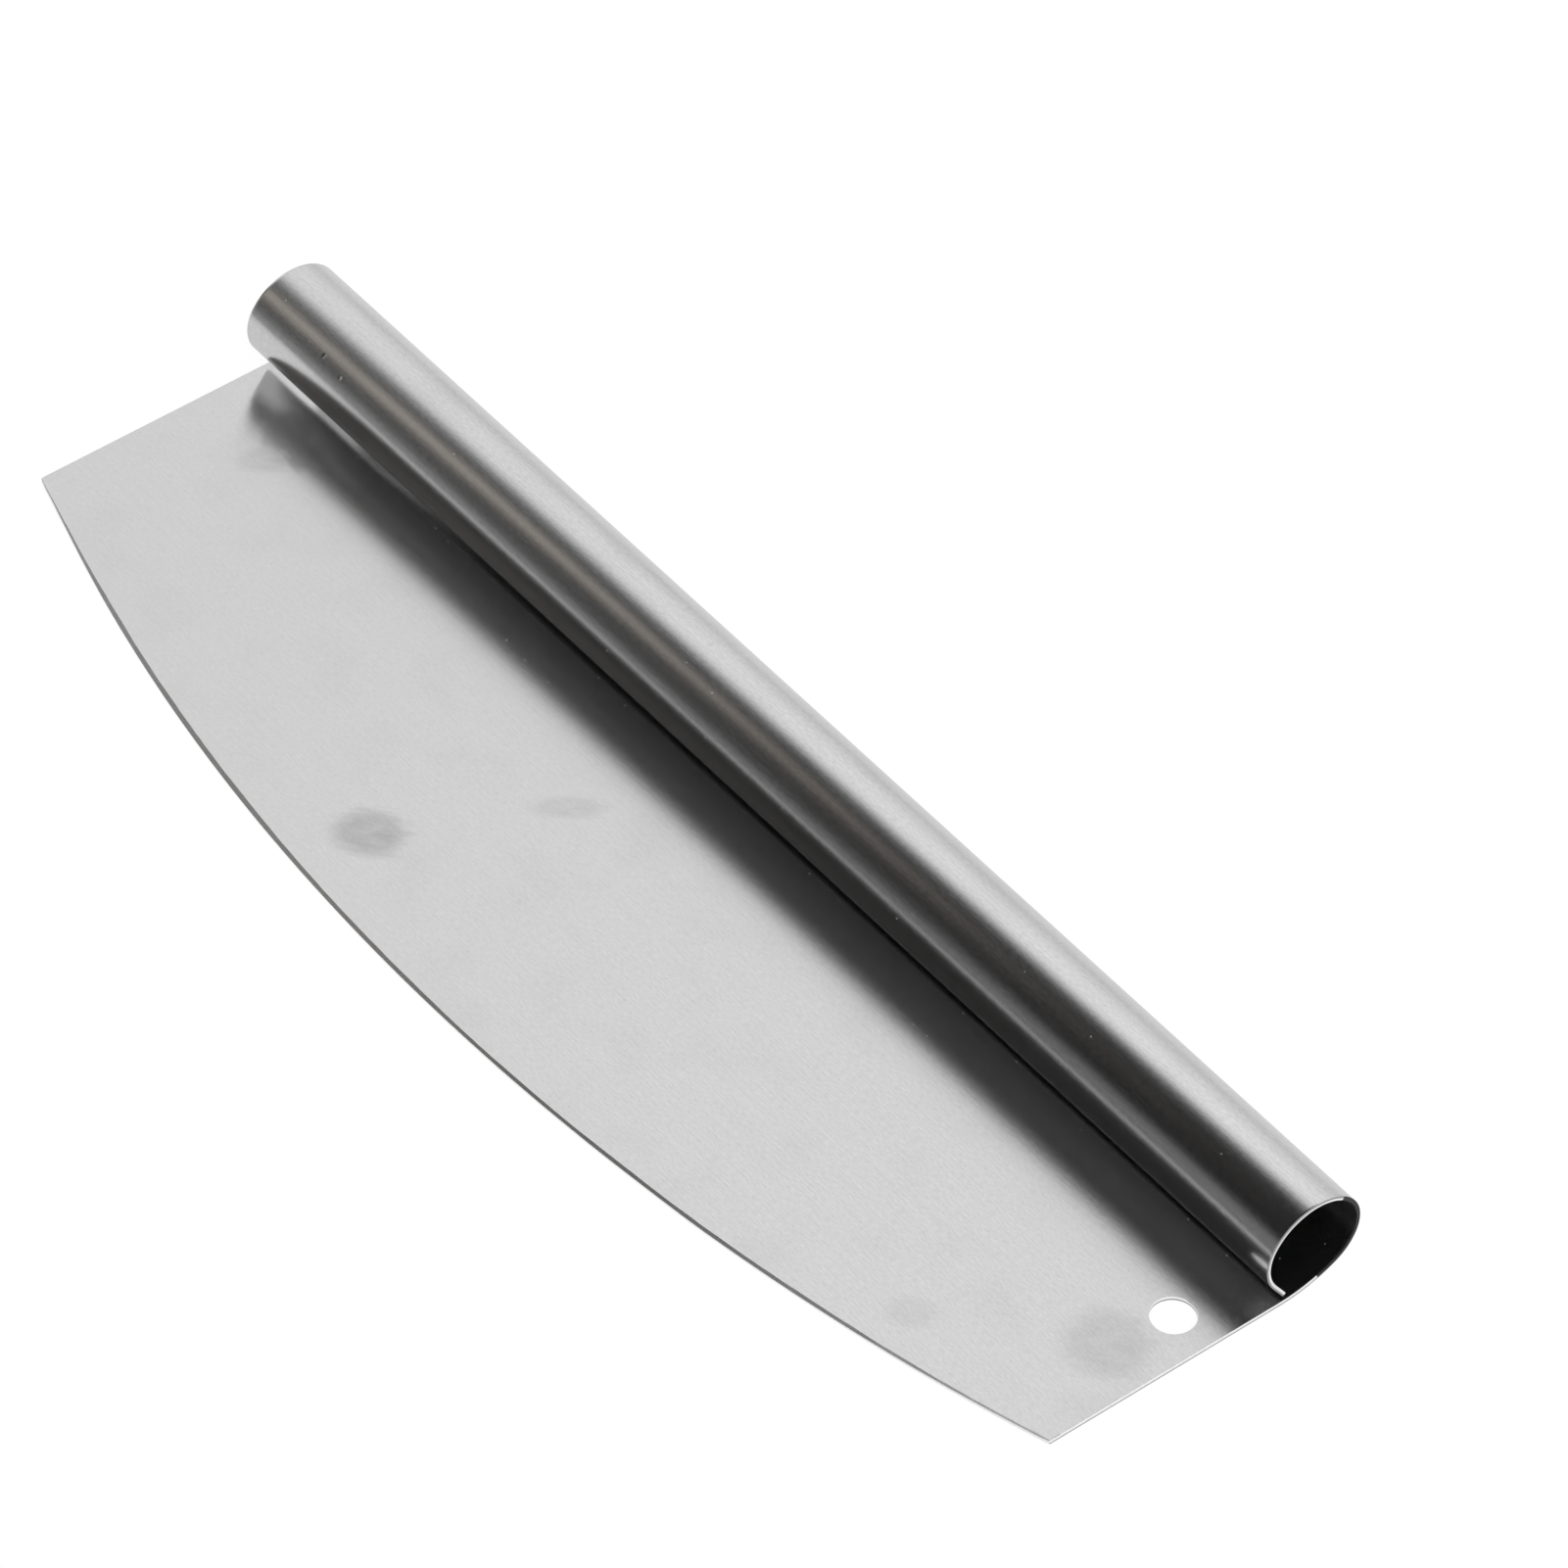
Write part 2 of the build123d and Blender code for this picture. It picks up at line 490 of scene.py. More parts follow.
class MeshParts:
    """Vertices and faces of the sheet as they are added, each vertex by its place in the flat sheet."""

    def __init__(self):
        self.places, self.faces, self.finishes, self.sharp = [], [], [], set()
        self.count = 0

    def add_points(self, flat, height):
        """Adds points, and returns their numbers in the same shape."""
        flat = np.asarray(flat, float)
        height = np.broadcast_to(height, flat.shape[:-1])
        self.places.append(np.concatenate([flat, height[..., None]], -1).reshape(-1, 3))
        numbers = np.arange(self.count, self.count + height.size).reshape(height.shape)
        self.count += height.size
        return numbers

    def add_grid(self, numbers, finish, skip=None, upside_down=False):
        """Adds the quads of a grid of points."""
        a, b, c, d = numbers[:-1, :-1], numbers[:-1, 1:], numbers[1:, 1:], numbers[1:, :-1]
        quads = np.stack([d, c, b, a] if upside_down else [a, b, c, d], -1)
        keep = np.ones(quads.shape[:2], bool)
        if skip is not None:
            keep[skip] = False
        self.faces.append(quads[keep])
        self.finishes.append(np.broadcast_to(finish, keep.shape)[keep])


def add_hole(parts, flat, top, bottom):
    """The punched hole: rings of sheet from its rim out to the square, on both faces, and its wall."""
    sheet = flat.sheet
    row, column, n = flat.window_row, flat.window_column, HOLE_CELLS
    square = (
        [(row, column + k) for k in range(n)]
        + [(row + k, column + n) for k in range(n)]
        + [(row + n, column + n - k) for k in range(n)]
        + [(row + n - k, column) for k in range(n)]
    )
    rows, columns = np.array(square + square[:1]).T
    angles = -3 * pi / 4 + tau * np.arange(4 * n + 1) / (4 * n)
    spoke = np.stack([np.cos(angles), np.sin(angles)], -1)
    profile = sheared_profile(sheet)

    def ring(flat_points, height):
        numbers = parts.add_points(flat_points[:-1], height)
        return np.append(numbers, numbers[0])

    def wall_places(back):
        return flat.hole_at + spoke * (sheet.hole_radius + back)

    rims = []
    for grid, (back, height), upside_down in ((top, profile[0], False), (bottom, profile[-1], True)):
        numbers, places = grid
        outer, rim = places[rows, columns], wall_places(back)
        loops = [numbers[rows, columns]]
        loops += [ring(outer + (rim - outer) * share, height) for share in HOLE_RINGS]
        loops.append(ring(rim, height))
        parts.add_grid(np.array(loops[::-1])[:, ::-1], FACE, upside_down=upside_down)
        rims.append(loops[-1])

    wall = [ring(wall_places(back), height) for back, height in profile[1:-1]]
    parts.add_grid(np.array([rims[0], *wall, rims[1]]), SHEARED_BANDS)


def build_blade_mesh(settings):
    """The whole sheet, gridded flat, for finish_mesh to roll."""
    sheet, edge = settings.sheet, settings.edge
    flat = FlatSheet(sheet, edge)
    parts = MeshParts()
    front_profile, sheared = flat.border_profiles()
    row, column = flat.window_row, flat.window_column
    hole = (slice(row, row + HOLE_CELLS), slice(column, column + HOLE_CELLS))

    top_places = flat.face(front_profile[:, 0, 0], sheared[0, 0])
    bottom_places = flat.face(front_profile[:, -1, 0], sheared[-1, 0])
    top = parts.add_points(top_places, sheet.thickness)
    bottom = parts.add_points(bottom_places, 0.0)
    parts.add_grid(top, FACE, hole)
    parts.add_grid(bottom, FACE, hole, upside_down=True)
    add_hole(parts, flat, (top, top_places), (bottom, bottom_places))

    # Border, as one closed loop: the cutting edge, the hole's end, the free edge and the plain end
    half = sheet.length / 2
    rows_between = slice(1, top.shape[0] - 1)
    sides = []
    for sign in (1, -1):
        places = top_places[rows_between, 0].copy()
        places[:, 0] = sign * half
        sides.append((places, np.tile([float(sign), 0.0], (len(places), 1))))
    (right, right_normal), (left, left_normal) = sides
    loop_places = np.concatenate([flat.front, right, flat.tail[::-1], left[::-1]])
    loop_normals = np.concatenate(
        [flat.front_normal, right_normal, flat.tail_normal[::-1], left_normal[::-1]]
    )
    count = len(flat.front)
    loop_profile = np.broadcast_to(sheared, (len(loop_places), *sheared.shape)).copy()
    loop_profile[:count] = front_profile

    def border_of(numbers):
        return np.concatenate([
            numbers[0], numbers[rows_between, -1], numbers[-1, ::-1], numbers[rows_between, 0][::-1]
        ])

    rings = [border_of(top)]
    for k in range(1, BORDER_RINGS - 1):
        places = loop_places - loop_normals * loop_profile[:, k, :1]
        rings.append(parts.add_points(places, loop_profile[:, k, 1]))
    rings.append(border_of(bottom))
    rings = np.array([np.append(ring, ring[0]) for ring in rings])
    finish = np.tile(SHEARED_BANDS, rings.shape[1] - 1)
    # Painted shade: this stretch of the border at the hole's end gets the near-black colour, where the
    # open end looks darkest
    stained = (right[:, 1] > PAINTED_SHADE_STRETCH[0]) & (right[:, 1] < PAINTED_SHADE_STRETCH[1])
    finish[:, count + np.flatnonzero(stained)] = PAINTED_SHADE
    finish[:, CORNER_BANDS : count - CORNER_BANDS - 1] = GROUND_BANDS
    parts.add_grid(rings.T, finish.T)
    for k in CRISP_RINGS:
        ring = rings[k, CORNER_BANDS : count - CORNER_BANDS]
        parts.sharp.update(frozenset(pair) for pair in zip(ring[:-1].tolist(), ring[1:].tolist()))

    return flat, parts


def finish_mesh(name, flat, parts):
    """Rolls the gridded sheet, and turns it into a Blender mesh with its grain map."""
    places = np.concatenate(parts.places)
    faces, finishes = np.concatenate(parts.faces), np.concatenate(parts.finishes)
    used, renumbered = np.unique(faces, return_inverse=True)
    faces = renumbered.reshape(faces.shape)
    places = places[used]
    points = rolled(flat.sheet, flat.curl_line, places[:, 0], places[:, 1], places[:, 2])
    mesh = bpy.data.meshes.new(name)
    mesh.from_pydata(points.tolist(), [], faces.tolist())
    mesh.polygons.foreach_set("material_index", finishes.astype(np.int32))
    mesh.polygons.foreach_set("use_smooth", np.ones(len(faces), bool))
    grain = mesh.uv_layers.new(name="grain")
    corners = np.empty(len(mesh.loops), np.int32)
    mesh.loops.foreach_get("vertex_index", corners)
    grain_map = places[corners][:, [1, 0]]
    grain_map[:, 1] += np.where(places[corners][:, 2] < flat.sheet.thickness / 2, UNDERSIDE, 0.0)
    grain.data.foreach_set("uv", grain_map.astype(np.float32).ravel())
    sharp = {frozenset(np.searchsorted(used, list(pair)).tolist()) for pair in parts.sharp}
    mesh.edges.foreach_set("use_edge_sharp", [frozenset(e.vertices) in sharp for e in mesh.edges])
    if mesh.validate():
        raise RuntimeError("The rolled sheet has faces that Blender had to mend")
    mesh.update()
    return mesh


# Materials. The knife is steel all over, so its metallic is 1, apart from the dust that lies on it, and
# the IOR stays at the default.

# Finger marks on the blade's upper face: middle across and along the flat sheet, half length, half
# width, turn in degrees, and how strong each is. Millimetres.
FINGER_MARKS = (
    (-43.6, -68.3, 9.6, 8.0, -47.0, 0.8),
    (-24.1, -29.9, 9.6, 3.8, -53.0, 0.32),
    (-154.3, -8.4, 8.5, 6.5, 40.0, 1.0),
    (-145.7, -10.5, 5.5, 5.0, 0.0, 1.0),
    (-149.9, -18.1, 8.0, 5.0, -60.0, 0.3),
    (162.4, -35.0, 11.0, 11.0, -50.0, 0.42),
    (131.4, -61.5, 6.5, 5.0, -50.0, 0.2),
)

# Small dents in the outside of the roll: across, and along from the start of the curl. Millimetres.
DENTS = ((-151.0, 56.4), (-144.0, 57.6))
DENT_REACH = (0.15 * MM, 0.7 * MM)  # from the middle to where a dent is full, and to where it ends
DENT_DEPTH = 0.05 * MM

STREAK_DEPTH = 0.004 * MM  # of the brushed grain, from its ridges to its valleys
STREAK_ROUGHNESS = 0.06  # how much rougher the ridges are than the valleys
STREAK_TONE = (0.22, 0.44)  # how far streaks change the colour, at the plain end and at the hole's end
TONE_REACH = 120 * MM  # from the knife's middle to where that stops changing
LONG_STREAKS = (0.8, 0.1)  # how many long streaks to one short one, across and along the grain
LONG_SHARE = 0.3  # of the grain that is long streaks

SKIN_STREAKS = (2.8, 1.1, 1.0)  # streaks in a finger mark, over its half width and its half length
SKIN_CONTRAST = (1.6, 0.2)  # how much those streaks change a mark, and what is left between them
MARK_RAGGEDNESS = 0.9  # how far they cut into a mark, as a share of its half size
MARK_ENDS, MARK_FULL = 1.55, 1.0  # where a mark ends and where it is full, as the same share
HANDLED_MOST = 0.12  # dulling by handling away from the marks, where it is strongest
HANDLED_ROUGHNESS = 0.05  # how much rougher fully dulled steel is
HANDLING_PATCH = 18.0 * MM  # spacing of the broad unevenness that handling leaves
DUST_CELL = 9.0 * MM  # side of the cells that may each hold one speck of dust
DUST_SIZE = (0.012, 0.022)  # where a speck is full and where it ends, as shares of a cell
DUST_DRAWN = (0.7, 0.95)  # random draws from which a cell's speck begins to show, and is whole
UNDERSIDE = 1.0  # metres by which the grain map's run along the grip is set off on the outside face


# Finishes of the borders: name, colour, roughness, grit and unevenness in millimetres, in the order of
# the mesh's slots after the brushed faces. The real marks are 0.05 mm apart or less, too fine to show,
# so the grit is drawn coarser.
BORDER_FINISHES = (
    # Wheel-ground: a fine dark line along the edge, its reflections blurred by the wheel's scratches
    ("stainless_steel_wheel_ground", "ground", 0.3, 0.3, 0.01),
    # Sheared, and burnished by the blade of the shear: a thin bright rim
    ("stainless_steel_sheared", "sheared", 0.22, 0.4, 0.005),
    # Broken off below that: duller and rougher, and darker partly as painted shade for the contact shadow
    # under the rim, so that the rim has two tones
    ("stainless_steel_broken_edge", "broken", 0.45, 0.2, 0.02),
    # Painted shade where the roll's open end is darkest: a nearly black colour with little gloss that
    # stands in for the shade and dark reflection there
    ("stainless_steel_stained_edge", "stained", 0.4, 0.4, 0.01),
)
BORDER_TONE = (0.9, 1.05)  # darkest and lightest shade of a border's colour


def add(tree, kind, setup=None, inputs=None):
    """Adds a node, sets its properties, and gives each named input a value, or another node's output.
    A whole node stands for its first output."""
    node = tree.nodes.new(kind)
    for name, value in (setup or {}).items():
        setattr(node, name, value)
    for name, value in (inputs or {}).items():
        if isinstance(value, bpy.types.Node):
            value = value.outputs[0]
        if isinstance(value, bpy.types.NodeSocket):
            tree.links.new(value, node.inputs[name])
        else:
            node.inputs[name].default_value = value
    return node


def calculate(tree, operation, *values):
    """A calculation on one, two or three values."""
    return add(tree, "ShaderNodeMath", {"operation": operation}, dict(enumerate(values)))


def scaled(tree, colour, factor):
    """A colour, made darker or brighter by a factor."""
    return add(tree, "ShaderNodeVectorMath", {"operation": "SCALE"}, {0: colour, "Scale": factor})


def ramp(tree, value, start, stop, low=0.0, high=1.0, shape="LINEAR"):
    """Runs from low where the value is start, or before it, to high where it is stop, or past it."""
    inputs = {"Value": value, "From Min": start, "From Max": stop, "To Min": low, "To Max": high}
    return add(tree, "ShaderNodeMapRange", {"interpolation_type": shape}, inputs)


def smooth_ramp(*values, **named):
    """A ramp that eases in and out."""
    return ramp(*values, **named, shape="SMOOTHSTEP")


def sheet_noise(tree, place, scale, detail, roughness):
    """Random unevenness over the flat sheet."""
    inputs = {"Vector": place, "Scale": scale, "Detail": detail, "Roughness": roughness}
    return add(tree, "ShaderNodeTexNoise", {"noise_dimensions": "2D"}, inputs)


def new_material(name):
    """An empty node material."""
    material = bpy.data.materials.new(name)
    material.use_nodes = True
    material.node_tree.nodes.clear()
    return material, material.node_tree


def brushed_stainless(finish):
    """Austenitic stainless steel, brushed on a belt along the grip. The eye gets a soft satin grey whose
    reflections smear across the grain and stay fairly sharp along it, with fine short streaks in them."""
    material, tree = new_material("stainless_steel_belt_brushed")
    place = add(tree, "ShaderNodeUVMap", {"uv_map": "grain"})

    # The belt's real scratches are about 0.05 mm apart, too fine to show, so they are drawn coarser
    short_cells = add(
        tree, "ShaderNodeMapping",
        inputs={"Vector": place, "Scale": (1 / finish.grain, 1 / finish.streak, 1.0)},
    )
    short = sheet_noise(tree, short_cells, scale=1.0, detail=2.0, roughness=0.6)
    per_width, per_length = LONG_STREAKS
    long_cells = add(
        tree, "ShaderNodeMapping",
        inputs={"Vector": place, "Scale": (per_width / finish.grain, per_length / finish.streak, 1.0)},
    )
    long = sheet_noise(tree, long_cells, scale=1.0, detail=2.0, roughness=0.5)
    streaks = add(tree, "ShaderNodeMix", inputs={0: LONG_SHARE, 2: short, 3: long})

    # Finger marks, streaked as skin leaves them when it slides
    marked = 0.0
    for across, along, half_length, half_width, turn, strength in FINGER_MARKS:
        inside = add(
            tree,
            "ShaderNodeMapping",
            {"vector_type": "TEXTURE"},
            {
                "Vector": place,
                "Location": (along * MM, across * MM, 0.0),
                "Rotation": (0.0, 0.0, radians(turn)),
                "Scale": (half_width * MM, half_length * MM, 1.0),
            },
        )
        slide = add(tree, "ShaderNodeMapping", inputs={"Vector": inside, "Scale": SKIN_STREAKS})
        skin = sheet_noise(tree, slide, scale=1.0, detail=3.0, roughness=0.6)
        reach = add(tree, "ShaderNodeVectorMath", {"operation": "LENGTH"}, {0: inside})
        ragged = calculate(tree, "MULTIPLY_ADD", skin, MARK_RAGGEDNESS, reach.outputs["Value"])
        mark = smooth_ramp(tree, ragged, MARK_ENDS, MARK_FULL, high=strength)
        pressed = calculate(tree, "MULTIPLY_ADD", skin, *SKIN_CONTRAST)
        left = calculate(tree, "MULTIPLY", mark, pressed)
        marked = calculate(tree, "MAXIMUM", marked, left)

    # Broad unevenness of handling over the whole sheet
    broad = sheet_noise(tree, place, scale=1 / HANDLING_PATCH, detail=3.0, roughness=0.55)
    handled = ramp(tree, broad, start=0.5, stop=0.8, high=HANDLED_MOST)
    dulled = calculate(tree, "MAXIMUM", marked, handled)

    # Dents and dust
    dented = 0.0
    for across, along in DENTS:
        away = add(
            tree, "ShaderNodeVectorMath",
            {"operation": "DISTANCE"},
            {0: place, 1: (along * MM, across * MM + UNDERSIDE, 0.0)},
        )
        dent = smooth_ramp(tree, away.outputs["Value"], start=DENT_REACH[1], stop=DENT_REACH[0])
        dented = calculate(tree, "MAXIMUM", dented, dent)
    cells = add(
        tree, "ShaderNodeTexVoronoi",
        {"voronoi_dimensions": "2D"},
        {"Vector": place, "Scale": 1 / DUST_CELL},
    )
    draw = add(tree, "ShaderNodeSeparateColor", inputs={0: cells.outputs["Color"]})
    speck = ramp(tree, cells.outputs["Distance"], start=DUST_SIZE[1], stop=DUST_SIZE[0])
    kept = ramp(tree, draw, *DUST_DRAWN)
    dust = calculate(tree, "MULTIPLY", speck, kept)

    # Colour, with streaks that are deeper towards the hole, where the belt bit harder, and all over the
    # outside face
    tone = add(
        tree, "ShaderNodeMix",
        {"data_type": "RGBA"},
        {0: dulled, 6: tuple(finish.brushed), 7: tuple(finish.handled)},
    )
    axes = add(tree, "ShaderNodeSeparateXYZ", inputs={0: place})
    bite = ramp(tree, axes.outputs["Y"], -TONE_REACH, TONE_REACH, *STREAK_TONE)
    centred = calculate(tree, "SUBTRACT", streaks, 0.5)
    depth = calculate(tree, "MULTIPLY_ADD", centred, bite, 1.0)
    shade = scaled(tree, tone.outputs[2], depth)

    # Roughness, more where fingers were and on the ridges of the grain
    dullness = calculate(tree, "MULTIPLY_ADD", dulled, HANDLED_ROUGHNESS, finish.roughness)
    roughness = calculate(tree, "MULTIPLY_ADD", streaks, STREAK_ROUGHNESS, dullness)
    roughness = calculate(tree, "ADD", roughness, -STREAK_ROUGHNESS / 2)
    metallic = calculate(tree, "SUBTRACT", 1.0, dust)

    # Height of the grain and the dents
    sunk = calculate(tree, "MULTIPLY", dented, -DENT_DEPTH)
    height = calculate(tree, "MULTIPLY_ADD", streaks, STREAK_DEPTH, sunk)
    bump = add(tree, "ShaderNodeBump", inputs={"Height": height, "Strength": 1.0, "Distance": 1.0})

    # The grain map runs across the grain, so its tangent does too, and the highlights stretch along it
    tangent = add(tree, "ShaderNodeTangent", {"direction_type": "UV_MAP", "uv_map": "grain"})
    steel = add(
        tree,
        "ShaderNodeBsdfPrincipled",
        inputs={
            "Base Color": shade,
            "Metallic": metallic,
            "Roughness": roughness,
            "Anisotropic": finish.stretch,
            "Normal": bump,
            "Tangent": tangent,
        },
    )
    add(tree, "ShaderNodeOutputMaterial", inputs={"Surface": steel})
    return material


def bare_steel(name, colour, roughness, grit, unevenness):
    """Bare stainless steel with a fine random texture: grit is its scale, unevenness its depth."""
    material, tree = new_material(name)
    where = add(tree, "ShaderNodeTexCoord")
    noise = add(
        tree,
        "ShaderNodeTexNoise",
        inputs={
            "Vector": where.outputs["Object"],
            "Scale": 1 / (grit * MM),
            "Detail": 3.0,
            "Roughness": 0.6,
        },
    )
    tone = ramp(tree, noise, 0.3, 0.7, *BORDER_TONE)
    shade = scaled(tree, tuple(colour)[:3], tone)
    bump = add(
        tree, "ShaderNodeBump", inputs={"Height": noise, "Strength": 1.0, "Distance": unevenness * MM}
    )
    steel = add(
        tree, "ShaderNodeBsdfPrincipled",
        inputs={"Base Color": shade, "Metallic": 1.0, "Roughness": roughness, "Normal": bump},
    )
    add(tree, "ShaderNodeOutputMaterial", inputs={"Surface": steel})
    return material


# The studio

# Shares of plain white light in what the camera and the steel see of the card, which keep it pale. The
# rest is the card as it is lit, with the knife's shadow on it.
CARD_SHOWN = 0.86
CARD_MIRRORED = 0.43
CARD_GLOW = 1.06  # brightness of that plain light

TABLE_DROP = 0.05 * MM  # how far the table lies below the knife, so that they don't flicker
OPENING_SIDE = (0.8, -0.6, 0.627)  # direction from the ceiling's edge into the opening
MIRRORED_TWICE = 0.3  # share of the dark room's light that is left in what the steel mirrors twice


def white_card(studio):
    """Matt white card under the knife. The eye gets a white that shows only the knife's soft shadow."""
    material, tree = new_material("white_card_matt")
    path = add(tree, "ShaderNodeLightPath")
    direct, through = path.outputs["Is Camera Ray"], path.outputs["Is Transmission Ray"]
    shown = calculate(tree, "MAXIMUM", direct, through)
    mirrored = calculate(tree, "MULTIPLY", path.outputs["Is Glossy Ray"], CARD_MIRRORED)
    share = calculate(tree, "MULTIPLY_ADD", shown, CARD_SHOWN, mirrored)
    lit = add(tree, "ShaderNodeBsdfDiffuse", inputs={"Color": tuple(studio.table)})
    glow = add(tree, "ShaderNodeEmission", inputs={"Color": linear("#ffffff"), "Strength": CARD_GLOW})
    surface = add(tree, "ShaderNodeMixShader", inputs={0: share, 1: lit, 2: glow})
    add(tree, "ShaderNodeOutputMaterial", inputs={"Surface": surface})
    return material


def lay_table(studio):
    """The table top."""
    half, front, height = studio.table_size / 2, -studio.table_front, -TABLE_DROP
    corners = [(-half, front, height), (half, front, height), (half, half, height), (-half, half, height)]
    mesh = bpy.data.meshes.new("table_top")
    mesh.from_pydata(corners, [], [(0, 1, 2, 3)])
    table = bpy.data.objects.new("table_top", mesh)
    bpy.context.scene.collection.objects.link(table)
    mesh.materials.append(white_card(studio))


# Bright strips in the dark room. Each is centred where the angle over the knife is middle + slant * x,
# in degrees, and fades out over reach. It is missing at the first x and full at the second, where x is
# the direction's part along the grip.
ROOM_GLOWS = (
    # middle, slant, reach, missing, full, brightness, colour
    (6.0, 0.0, 20.0, -0.56, -0.61, 0.15, "#ffffff"),
    (14.0, 0.0, 15.0, -0.53, -0.49, 0.23, "#ffffff"),
    (3.0, 0.0, 8.5, 1.0, -0.2, 0.2, "#ffffff"),
    (200.0, 250.0, 14.5, -0.515, -0.57, 0.57, "#fff2e4"),
)


def light_studio():
    """A white tent with an open, dark side. Its ceiling ends a little behind the knife, in a straight
    line square to the camera, and what is in front of that line on the knife's left is dark room."""
    world = bpy.data.worlds.new("white_tent")
    world.use_nodes = True
    tree = world.node_tree
    tree.nodes.clear()
    where = add(tree, "ShaderNodeTexCoord")
    axes = add(tree, "ShaderNodeSeparateXYZ", inputs={0: where.outputs["Generated"]})
    x, y, z = axes.outputs

    # Angle over the knife in degrees, seen along the grip: 0 is the front, 90 overhead, 180 behind
    front = calculate(tree, "MULTIPLY", y, -1.0)
    angle = calculate(tree, "ARCTAN2", z, front)
    over = calculate(tree, "MULTIPLY", angle, degrees(1.0))

    # The tent: white, a little duller where it meets the table, and brighter towards the hole's end
    height = smooth_ramp(tree, z, start=0.02, stop=0.5, low=0.76)
    right = smooth_ramp(tree, x, start=-0.62, stop=-0.46, high=0.16)
    ceiling = smooth_ramp(tree, over, start=152.0, stop=132.0)
    brighter = calculate(tree, "MULTIPLY_ADD", right, ceiling, 1.0)
    white = calculate(tree, "MULTIPLY", height, brighter)
    tent = add(tree, "ShaderNodeCombineXYZ", inputs={0: white, 1: white, 2: white})

    # The opening, past the ceiling's edge and low down in front, on the knife's left
    past_edge = add(
        tree, "ShaderNodeVectorMath",
        {"operation": "DOT_PRODUCT"},
        {0: where.outputs["Generated"], 1: OPENING_SIDE},
    )
    past_edge = smooth_ramp(tree, past_edge.outputs["Value"], start=-0.12, stop=0.14)
    low = smooth_ramp(tree, over, start=70.0, stop=52.0)
    opened = calculate(tree, "MAXIMUM", past_edge, low)
    left = smooth_ramp(tree, x, start=-0.05, stop=-0.3)
    opened = calculate(tree, "MULTIPLY", opened, left)

    # The dark room, its far wall, and a warm lamp on it
    gloom = smooth_ramp(tree, x, start=-0.50, stop=-0.60, low=0.012, high=0.11)
    room = add(tree, "ShaderNodeCombineXYZ", inputs={0: gloom, 1: gloom, 2: gloom})
    for middle, slant, reach, missing, full, brightness, colour in ROOM_GLOWS:
        line = calculate(tree, "MULTIPLY_ADD", x, slant, middle)
        off = calculate(tree, "SUBTRACT", over, line)
        off = calculate(tree, "ABSOLUTE", off)
        strip = smooth_ramp(tree, off, start=reach, stop=0.0)
        share = smooth_ramp(tree, x, start=missing, stop=full, high=brightness)
        amount = calculate(tree, "MULTIPLY", strip, share)
        glow = scaled(tree, linear(colour)[:3], amount)
        room = add(tree, "ShaderNodeVectorMath", {"operation": "ADD"}, {0: room, 1: glow})

    # What the steel mirrors twice sees less of the room, because the knife itself stands in the way
    path = add(tree, "ShaderNodeLightPath")
    again = ramp(tree, path.outputs["Ray Depth"], start=2.0, stop=3.0, low=1.0, high=MIRRORED_TWICE)
    room = scaled(tree, room, again)
    sky = add(tree, "ShaderNodeMix", {"data_type": "VECTOR"}, {0: opened, 4: tent, 5: room})
    seen = add(
        tree, "ShaderNodeMix",
        {"data_type": "VECTOR"},
        {0: path.outputs["Is Camera Ray"], 4: sky.outputs[1], 5: (1.0, 1.0, 1.0)},
    )
    light = add(tree, "ShaderNodeBackground", inputs={"Color": seen.outputs[1], "Strength": 1.0})
    add(tree, "ShaderNodeOutputWorld", inputs={"Surface": light})
    bpy.context.scene.world = world


def stand_camera(studio):
    """The camera, at the photograph's viewing angle."""
    azimuth, elevation, roll = studio.azimuth, studio.elevation, studio.roll
    back = Vector((sin(azimuth) * cos(elevation), -cos(azimuth) * cos(elevation), sin(elevation)))
    right = Vector((cos(azimuth), sin(azimuth), 0.0))
    up = back.cross(right)
    level_right = right * cos(roll) + up * sin(roll)
    level_up = up * cos(roll) - right * sin(roll)
    data = bpy.data.cameras.new("camera")
    data.sensor_fit = "HORIZONTAL"
    data.sensor_width = 36.0
    data.lens = data.sensor_width * studio.view_pixels / studio.picture_pixels
    data.clip_end = 20.0
    camera = bpy.data.objects.new("camera", data)
    turn = Matrix((level_right, level_up, back)).transposed()
    place = Vector(studio.target) + back * studio.distance
    camera.matrix_world = Matrix.Translation(place) @ turn.to_4x4()
    bpy.context.scene.collection.objects.link(camera)
    bpy.context.scene.camera = camera


# Operators, panel and registration


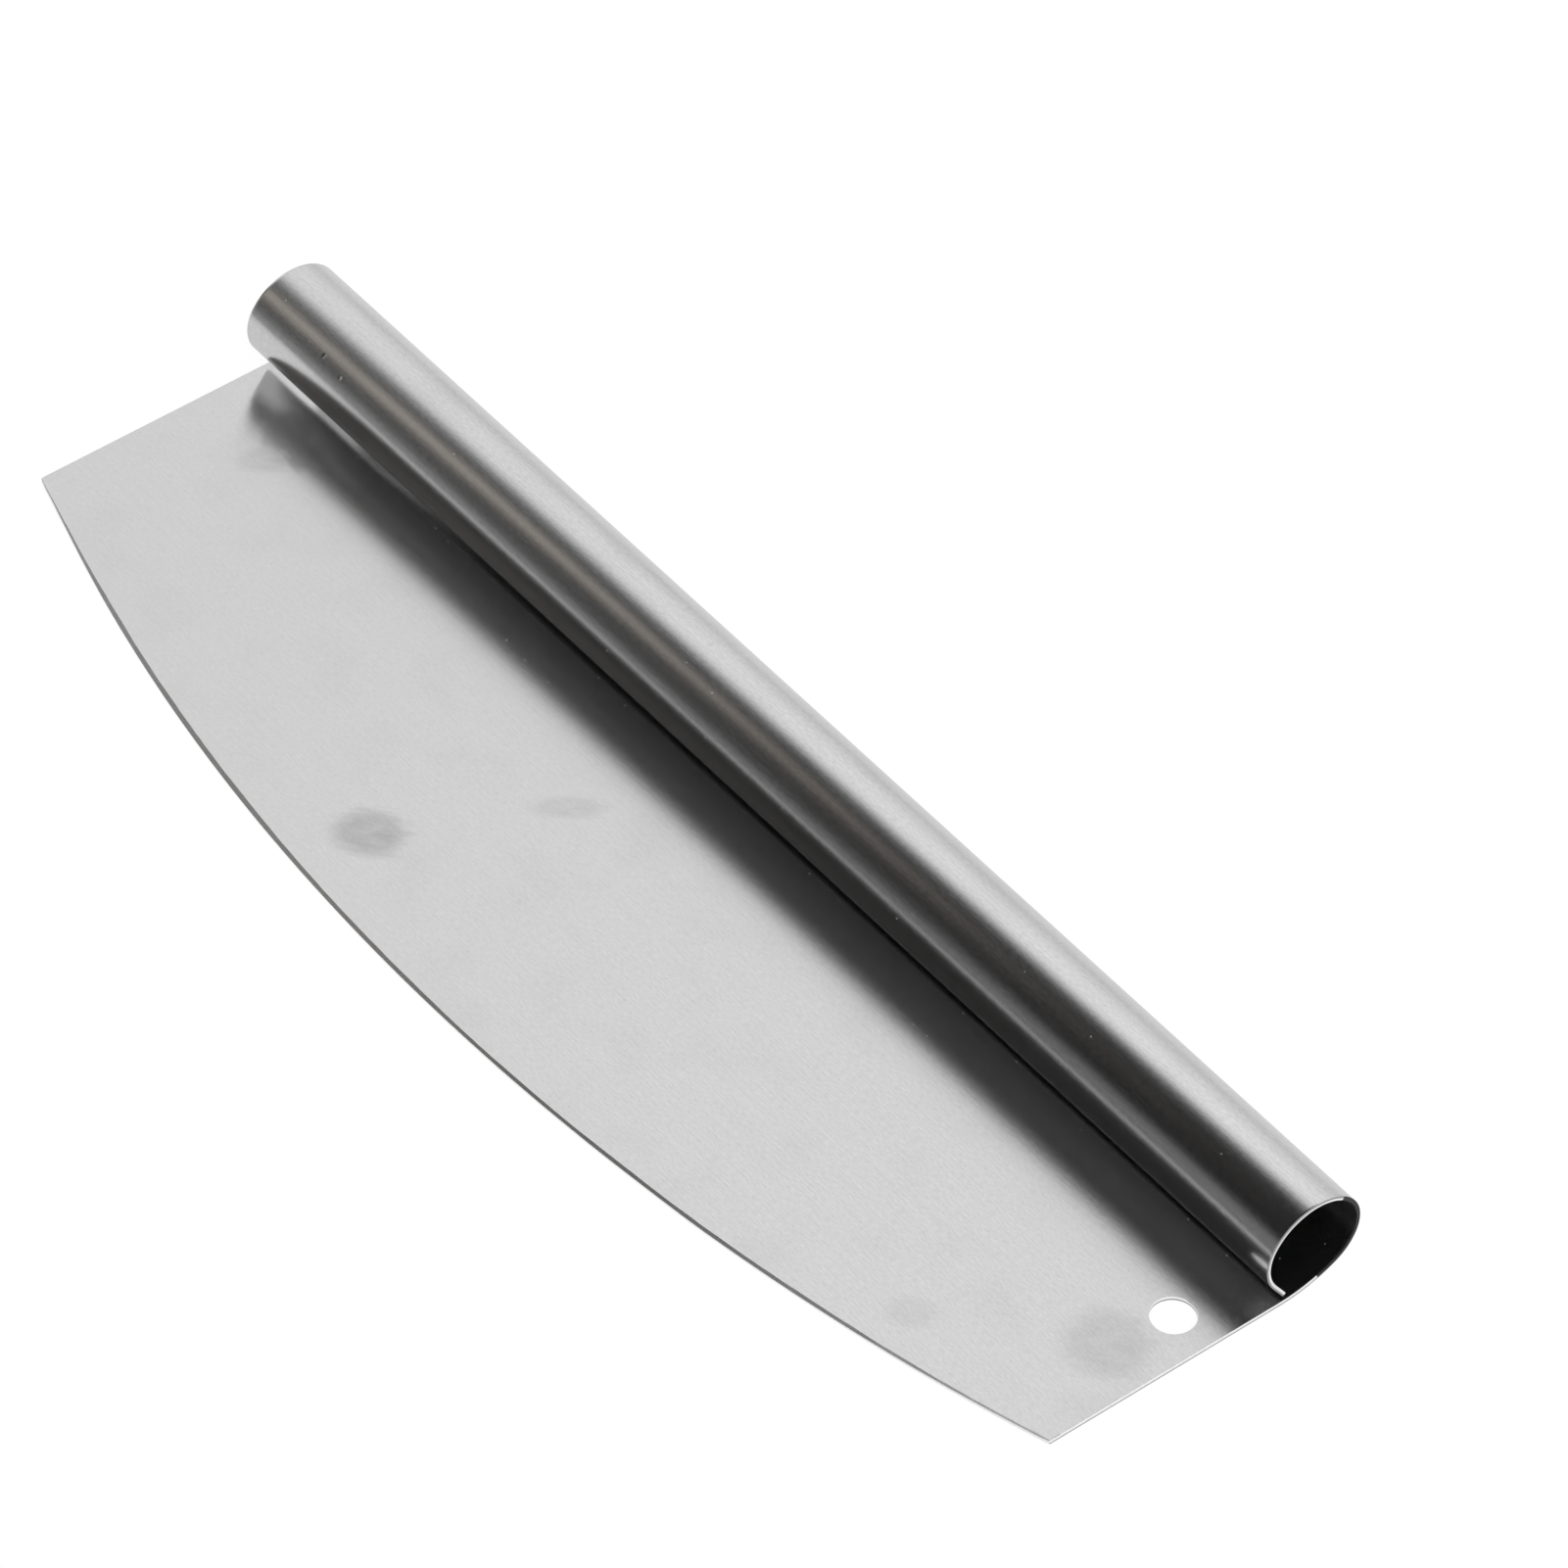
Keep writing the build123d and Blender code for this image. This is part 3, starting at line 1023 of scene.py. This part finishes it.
class KNIFE_OT_roll_blade(Operator):
    """Makes the blade and its rolled grip from one sheet"""

    bl_idname = "pizza_knife.roll_blade"
    bl_label = "Roll Blade and Grip"

    def execute(self, context):
        settings = context.scene.pizza_knife
        flat, parts = build_blade_mesh(settings)
        mesh = finish_mesh("blade_and_grip_sheet", flat, parts)
        mesh.materials.append(brushed_stainless(settings.finish))
        for name, colour, *texture in BORDER_FINISHES:
            mesh.materials.append(bare_steel(name, getattr(settings.finish, colour), *texture))
        blade = bpy.data.objects.new("blade_and_grip_sheet", mesh)
        context.scene.collection.objects.link(blade)
        crisp = blade.modifiers.new("crisp_borders", "WEIGHTED_NORMAL")
        crisp.mode = "FACE_AREA"
        crisp.keep_sharp = True
        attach(blade, "root")
        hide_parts("rolled_blade")
        return {"FINISHED"}


class KNIFE_OT_set_studio(Operator):
    """Lays the table, lights the studio and stands the camera"""

    bl_idname = "pizza_knife.set_studio"
    bl_label = "Set Studio"

    def execute(self, context):
        studio = context.scene.pizza_knife.studio
        lay_table(studio)
        light_studio()
        stand_camera(studio)
        context.scene.view_settings.view_transform = "Standard"
        return {"FINISHED"}


class KNIFE_PT_maker(Panel):
    """Lists the makers of the knife's pieces and studio, with their sizes and finishes"""

    bl_idname = "KNIFE_PT_maker"
    bl_label = "Pizza Knife"
    bl_space_type = "VIEW_3D"
    bl_region_type = "UI"
    bl_category = "Pizza Knife"

    def draw(self, context):
        settings = context.scene.pizza_knife
        layout = self.layout
        layout.operator(KNIFE_OT_roll_blade.bl_idname)
        layout.operator(KNIFE_OT_set_studio.bl_idname)
        for group in (settings.sheet, settings.edge, settings.finish, settings.studio):
            column = layout.column(align=True)
            for name in group.__annotations__:
                column.prop(group, name)


CLASSES = (
    SheetSizes,
    EdgeSizes,
    SteelFinish,
    StudioSettings,
    KnifeSettings,
    KNIFE_OT_roll_blade,
    KNIFE_OT_set_studio,
    KNIFE_PT_maker,
)


def register():
    for each in CLASSES:
        bpy.utils.register_class(each)
    bpy.types.Scene.pizza_knife = PointerProperty(type=KnifeSettings)


def unregister():
    del bpy.types.Scene.pizza_knife
    for each in reversed(CLASSES):
        bpy.utils.unregister_class(each)


def main():
    """Makes the knife and its studio."""
    register()
    bpy.ops.pizza_knife.roll_blade()
    bpy.ops.pizza_knife.set_studio()


if __name__ == "__main__":
    main()
